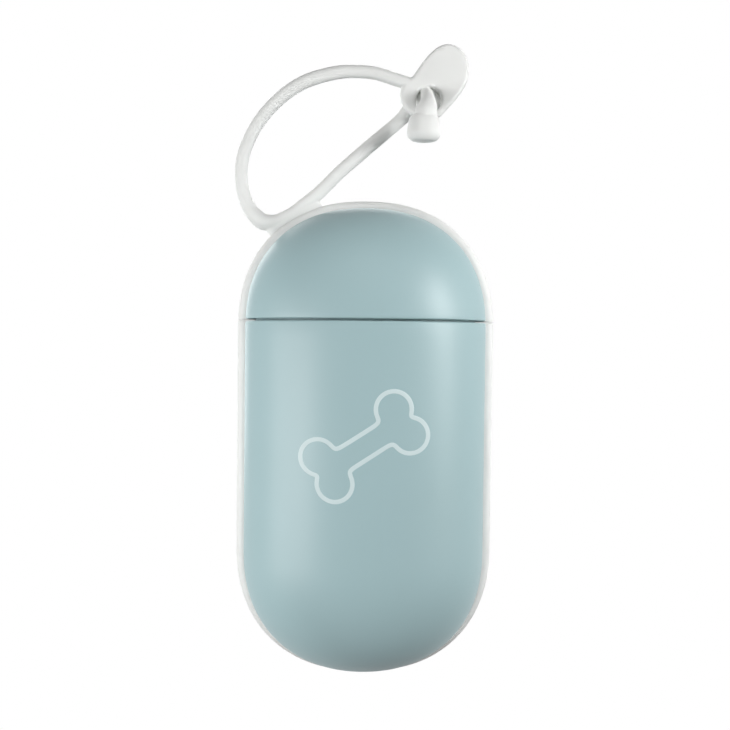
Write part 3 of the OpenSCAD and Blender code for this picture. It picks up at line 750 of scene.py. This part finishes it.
def print_points(wide=0.85, proud=0.03, middle=(0, 0.5)):
    """Points of the printed line: a thin closed band along the outline, laid on the front shell,
    where y is the front's depth times the root of 1 - (x / radius) squared. Columns go once round
    the band: over its face, proud of the shell, and back inside the wall."""
    line = bone_line() + np.array(middle)
    along = np.roll(line, -1, 0) - np.roll(line, 1, 0)
    across = np.stack([along[:, 1], -along[:, 0]], -1)
    across /= np.linalg.norm(across, axis=1, keepdims=True)
    offset = np.array([-0.5, -0.47, -0.3, 0, 0.3, 0.47, 0.5, 0.3, 0, -0.3]) * wide
    lift = np.array([-0.02, 0.8, 1, 1, 1, 0.8, -0.02, -0.8, -0.8, -0.8]) * proud
    x, z = np.moveaxis(line[:, None, :] + offset[None, :, None] * across[:, None, :], -1, 0)
    y = -FRONT_DEPTH * np.sqrt(1 - (x / CAPSULE_R) ** 2) - lift
    return closed(np.stack([x, y, z], -1))


# Stage

# Camera, fitted to the photo: place from the capsule's middle in metres, degrees of tilt down and
# of roll, and lens and sensor in mm
CAMERA_AT = Vector((0, -0.2, 0.0213))
CAMERA_DOWN, CAMERA_ROLL = 1.65, 0.62
LENS, SENSOR = 47.16, 36

# Name, angle from the front, distance and height from the capsule's middle in metres, width and
# height, power in watts
SOFTBOXES = (
    ("left_box", -68, 0.45, -0.04, (0.14, 0.22), 0.85),
    ("left_near_box", -46, 0.22, -0.02, (0.05, 0.1), 0.23),
    ("right_near_box", 59, 0.22, 0.088, (0.05, 0.08), 0.3),
    ("right_box", 66, 0.45, 0.05, (0.08, 0.12), 0.7),
    ("right_low_box", 74, 0.45, 0.0, (0.16, 0.24), 0.02),
    ("right_side_box", 92, 0.45, 0.14, (0.16, 0.3), 0.08),
    ("top_box", 0, 0.45, 0.45, (0.4, 0.3), 0.46),
    ("back_box", 196, 0.45, 0.12, (0.4, 0.4), 1.3),
)
# Light of the surroundings on surfaces; they show as plain white
AMBIENT = 0.06
# Floor: how far it lies under the object, and half its side, in metres
FLOOR_DROP, FLOOR_HALF = 0.9, 4.0


def place_camera():
    """Camera at the photo's viewpoint."""
    data = bpy.data.cameras.new("camera")
    data.lens, data.sensor_width, data.clip_start = LENS, SENSOR, 0.01
    camera = add_object("camera", data)
    tilt = Matrix.Rotation(math.radians(90 - CAMERA_DOWN), 4, "X")
    roll = Matrix.Rotation(math.radians(CAMERA_ROLL), 4, "Z")
    camera.matrix_world = Matrix.Translation(Vector(CENTRE) + CAMERA_AT) @ tilt @ roll
    bpy.context.scene.camera = camera


def place_softbox(name, turned, away, height, size, power):
    """An area lamp round the capsule, facing its middle."""
    lamp = bpy.data.lights.new(name, "AREA")
    lamp.shape, lamp.size, lamp.size_y, lamp.energy = "RECTANGLE", *size, power
    angle = math.radians(turned)
    middle = Vector(CENTRE)
    obj = add_object(name, lamp)
    obj.location = at = middle + Vector((away * math.sin(angle), -away * math.cos(angle), height))
    obj.rotation_mode = "QUATERNION"
    obj.rotation_quaternion = (middle - at).to_track_quat("-Z", "Y")


def seen_rays(tree):
    """A socket that is 1 for camera, glossy and transmission rays, and 0 for those that light."""
    rays = add_node(tree, "ShaderNodeLightPath")
    seen = rays.outputs["Is Camera Ray"]
    for name in ("Is Glossy Ray", "Is Transmission Ray"):
        seen = add_node(tree, "ShaderNodeMath", {0: seen, 1: rays.outputs[name]},
                        operation="MAXIMUM").outputs[0]
    return seen


def make_surroundings():
    """World that shows white and lights a little."""
    world = bpy.data.worlds.new("surroundings")
    bpy.context.scene.world = world
    tree = empty_tree(world)
    strength = add_node(tree, "ShaderNodeMapRange", {
        "Value": seen_rays(tree), "To Min": AMBIENT, "To Max": 1.0}).outputs[0]
    sky = add_node(tree, "ShaderNodeBackground", {"Color": (1, 1, 1, 1), "Strength": strength})
    add_node(tree, "ShaderNodeOutputWorld", {"Surface": sky.outputs[0]})


def pale_floor_paint():
    """Matte paint of the floor: pale grey in the light that it throws back on the object, and plain
    white where it is seen, as a lit backdrop is."""
    paint = bpy.data.materials.new("pale_floor_paint")
    tree = empty_tree(paint)
    lit = add_node(tree, "ShaderNodeBsdfDiffuse", {"Color": colour("e9e9e8")})
    white = add_node(tree, "ShaderNodeEmission", {"Color": (1, 1, 1, 1), "Strength": 1.0})
    both = add_node(tree, "ShaderNodeMixShader", {
        0: seen_rays(tree), 1: lit.outputs[0], 2: white.outputs[0]})
    add_node(tree, "ShaderNodeOutputMaterial", {"Surface": both.outputs[0]})
    return paint


def lay_floor():
    """Pale floor far under the object, which shows white as the surroundings do."""
    z = CAD_BOX[0][2] - FLOOR_DROP
    corners = [(x * FLOOR_HALF, y * FLOOR_HALF, z) for x, y in ((-1, -1), (1, -1), (1, 1), (-1, 1))]
    mesh = bpy.data.meshes.new("floor")
    mesh.from_pydata(corners, [], [(0, 1, 2, 3)])
    mesh.materials.append(material(pale_floor_paint))
    add_object("floor", mesh)


# Operators


class DispenserLook(bpy.types.PropertyGroup):
    """Sizes and colours that a user would change."""

    shell_low: bpy.props.StringProperty(
        name="Shell, darker", description="Darker blue of the shells, sRGB hex", default="9bb5b8")
    shell_high: bpy.props.StringProperty(
        name="Shell, lighter", description="Lighter blue of the shells, sRGB hex", default="9fb9bd")
    silicone_low: bpy.props.StringProperty(
        name="Silicone, darker", description="Darker white of rim and strap, sRGB hex",
        default="e0e1df")
    silicone_high: bpy.props.StringProperty(
        name="Silicone, lighter", description="Lighter white of rim and strap, sRGB hex",
        default="e6e7e5")
    edge: bpy.props.FloatProperty(
        name="Edge rounding", description="Rounding of the shells' edges", default=0.35 * MM,
        min=0.1 * MM, max=0.8 * MM, unit="LENGTH", precision=5)
    rim_edge: bpy.props.FloatProperty(
        name="Rim rounding", description="Rounding of the rim's outer edges", default=1.4 * MM,
        min=0.4 * MM, max=1.9 * MM, unit="LENGTH", precision=5)


class DISPENSER_OT_front_shells(bpy.types.Operator):
    """Front shells of lid and case, with collar, lips and bosses"""

    bl_idname = "dispenser.front_shells"
    bl_label = "Front shells"

    def execute(self, context):
        edge = context.scene.dispenser_look.edge / MM
        lip = rounded_box((CAPSULE_R - (WALL + LIP_THICK + LIP_GAP), LIP_FRONT),
                          (CAPSULE_R - WALL - LIP_GAP, LIP_BACK), radii=(0.2,) * 4, count=3)
        case = [front_shell(-1, CASE_END, edge), band(lip, -1, CASE_END),
                half_ring(COLLAR, LIP_BACK)]
        lid = [front_shell(1, LID_END, edge), band(lip, 1, COLLAR_TOP + LIP_GAP)]
        for side in (-1, 1):
            case.append(magnet_boss(side * MAGNET_X, CASE_END, -1, CASE_MAGNET))
            case += [screw_boss(side * x, z, length) for x, z, length in CASE_SCREWS]
            lid.append(magnet_boss(side * MAGNET_X, LID_END, 1, LID_MAGNET))
            lid.append(screw_boss(side * LID_SCREW[0], *LID_SCREW[1:]))
        case.append(lathe(PEDESTAL, (0, 0, 0), count=48))
        piece("case_front_shell", case, "case", soft_touch_abs, ["case_front"])
        piece("lid_front_shell", lid, "lid", soft_touch_abs, ["lid_front"])
        return {"FINISHED"}


class DISPENSER_OT_back_shells(bpy.types.Operator):
    """Back shells of lid and case, with hinge knuckles, screw wells and bag outlet"""

    bl_idname = "dispenser.back_shells"
    bl_label = "Back shells"

    def execute(self, context):
        back_shell("case_back_shell", "case_back", "case")
        back_shell("lid_back_shell", "lid_back", "lid")
        return {"FINISHED"}


class DISPENSER_OT_rims(bpy.types.Operator):
    """Soft rims round lid and case"""

    bl_idname = "dispenser.rims"
    bl_label = "Soft rims"

    def execute(self, context):
        soft = context.scene.dispenser_look.rim_edge / MM
        profile = rounded_box((CAPSULE_R - WALL, RIM_FRONT), (RIM_R, RIM_BACK),
                              radii=(0.1, soft, soft, 0.1), count=9)
        for way, body in ((-1, "case"), (1, "lid")):
            rim = band(profile, way, SEAM + way * RIM_GAP / 2, edge=0.12)
            piece(f"{body}_soft_rim", [rim], body, moulded_silicone,
                  [f"{body}_rim"])
        return {"FINISHED"}


class DISPENSER_OT_strap(bpy.types.Operator):
    """Moulded strap: root, two strands, eyelet tab and toggle"""

    bl_idname = "dispenser.strap"
    bl_label = "Strap"

    def execute(self, context):
        long_strand = tube(LONG_STRAND, np.array([0, 1.0, 0]))
        short_strand = tube(SHORT_STRAND, np.array([1.0, 0, -1.0]) / math.sqrt(2))
        strap = piece(
            "strap_moulding",
            [long_strand, short_strand, root_points(), tab_points(), knob_points()],
            "lid", moulded_silicone, ["strap"])
        blend_forms(strap, voxel_mm=0.16, rounds=6)
        return {"FINISHED"}


class DISPENSER_OT_grommet(bpy.types.Operator):
    """Soft grommet round the bag outlet"""

    bl_idname = "dispenser.grommet"
    bl_label = "Outlet grommet"

    def execute(self, context):
        piece("outlet_soft_grommet", [grommet_points()], "case", moulded_silicone,
              ["outlet_grommet"], crease=60)
        return {"FINISHED"}


class DISPENSER_OT_bag_roll(bpy.types.Operator):
    """Roll of bags, wound film on its core"""

    bl_idname = "dispenser.bag_roll"
    bl_label = "Roll of bags"

    def execute(self, context):
        piece("wound_bags", [roll_points()], "roll", wound_film, ["bag_roll"],
              crease=50)
        return {"FINISHED"}


class DISPENSER_OT_print(bpy.types.Operator):
    """Pale line drawing of a bone, screen printed on the front"""

    bl_idname = "dispenser.front_print"
    bl_label = "Front print"

    def execute(self, context):
        piece("bone_print", [print_points()], "case", pale_ink)
        return {"FINISHED"}


class DISPENSER_OT_fittings(bpy.types.Operator):
    """Materials of the CAD pieces that stay in view"""

    bl_idname = "dispenser.fittings"
    bl_label = "Fittings"

    def execute(self, context):
        for recipe, nodes in (
            (zinc_plated_steel, ("hinge_pin", "case_screws", "lid_screws", "hub_screw")),
            (nickel_plate, ("case_magnets", "lid_magnets")),
            (moulded_acetal, ("roll_hub",)),
            (core_board, ("roll_core",)),
        ):
            for node in nodes:
                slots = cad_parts[node].data.materials
                slots.clear()
                slots.append(material(recipe))
        return {"FINISHED"}


class DISPENSER_OT_stage(bpy.types.Operator):
    """Camera, lamps, pale floor and white surroundings"""

    bl_idname = "dispenser.stage"
    bl_label = "Stage"

    def execute(self, context):
        context.scene.view_settings.view_transform = "Standard"
        place_camera()
        for softbox in SOFTBOXES:
            place_softbox(*softbox)
        make_surroundings()
        lay_floor()
        return {"FINISHED"}


OPERATORS = (
    DISPENSER_OT_front_shells, DISPENSER_OT_back_shells, DISPENSER_OT_rims, DISPENSER_OT_strap,
    DISPENSER_OT_grommet, DISPENSER_OT_bag_roll, DISPENSER_OT_print, DISPENSER_OT_fittings,
    DISPENSER_OT_stage,
)


class DISPENSER_PT_pieces(bpy.types.Panel):
    """Lists the pieces in the 3D view's sidebar"""

    bl_idname = "DISPENSER_PT_pieces"
    bl_label = "Bag dispenser"
    bl_space_type = "VIEW_3D"
    bl_region_type = "UI"
    bl_category = "Dispenser"

    def draw(self, context):
        column = self.layout.column()
        for name in DispenserLook.__annotations__:
            column.prop(context.scene.dispenser_look, name)
        for operator in OPERATORS:
            column.operator(operator.bl_idname)


CLASSES = (DispenserLook, *OPERATORS, DISPENSER_PT_pieces)


def register():
    for item in CLASSES:
        bpy.utils.register_class(item)
    bpy.types.Scene.dispenser_look = bpy.props.PointerProperty(type=DispenserLook)


def unregister():
    del bpy.types.Scene.dispenser_look
    for item in reversed(CLASSES):
        bpy.utils.unregister_class(item)


def main():
    """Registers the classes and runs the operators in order."""
    register()
    for operator in OPERATORS:
        group, name = operator.bl_idname.split(".")
        getattr(getattr(bpy.ops, group), name)()


if __name__ == "__main__":
    main()
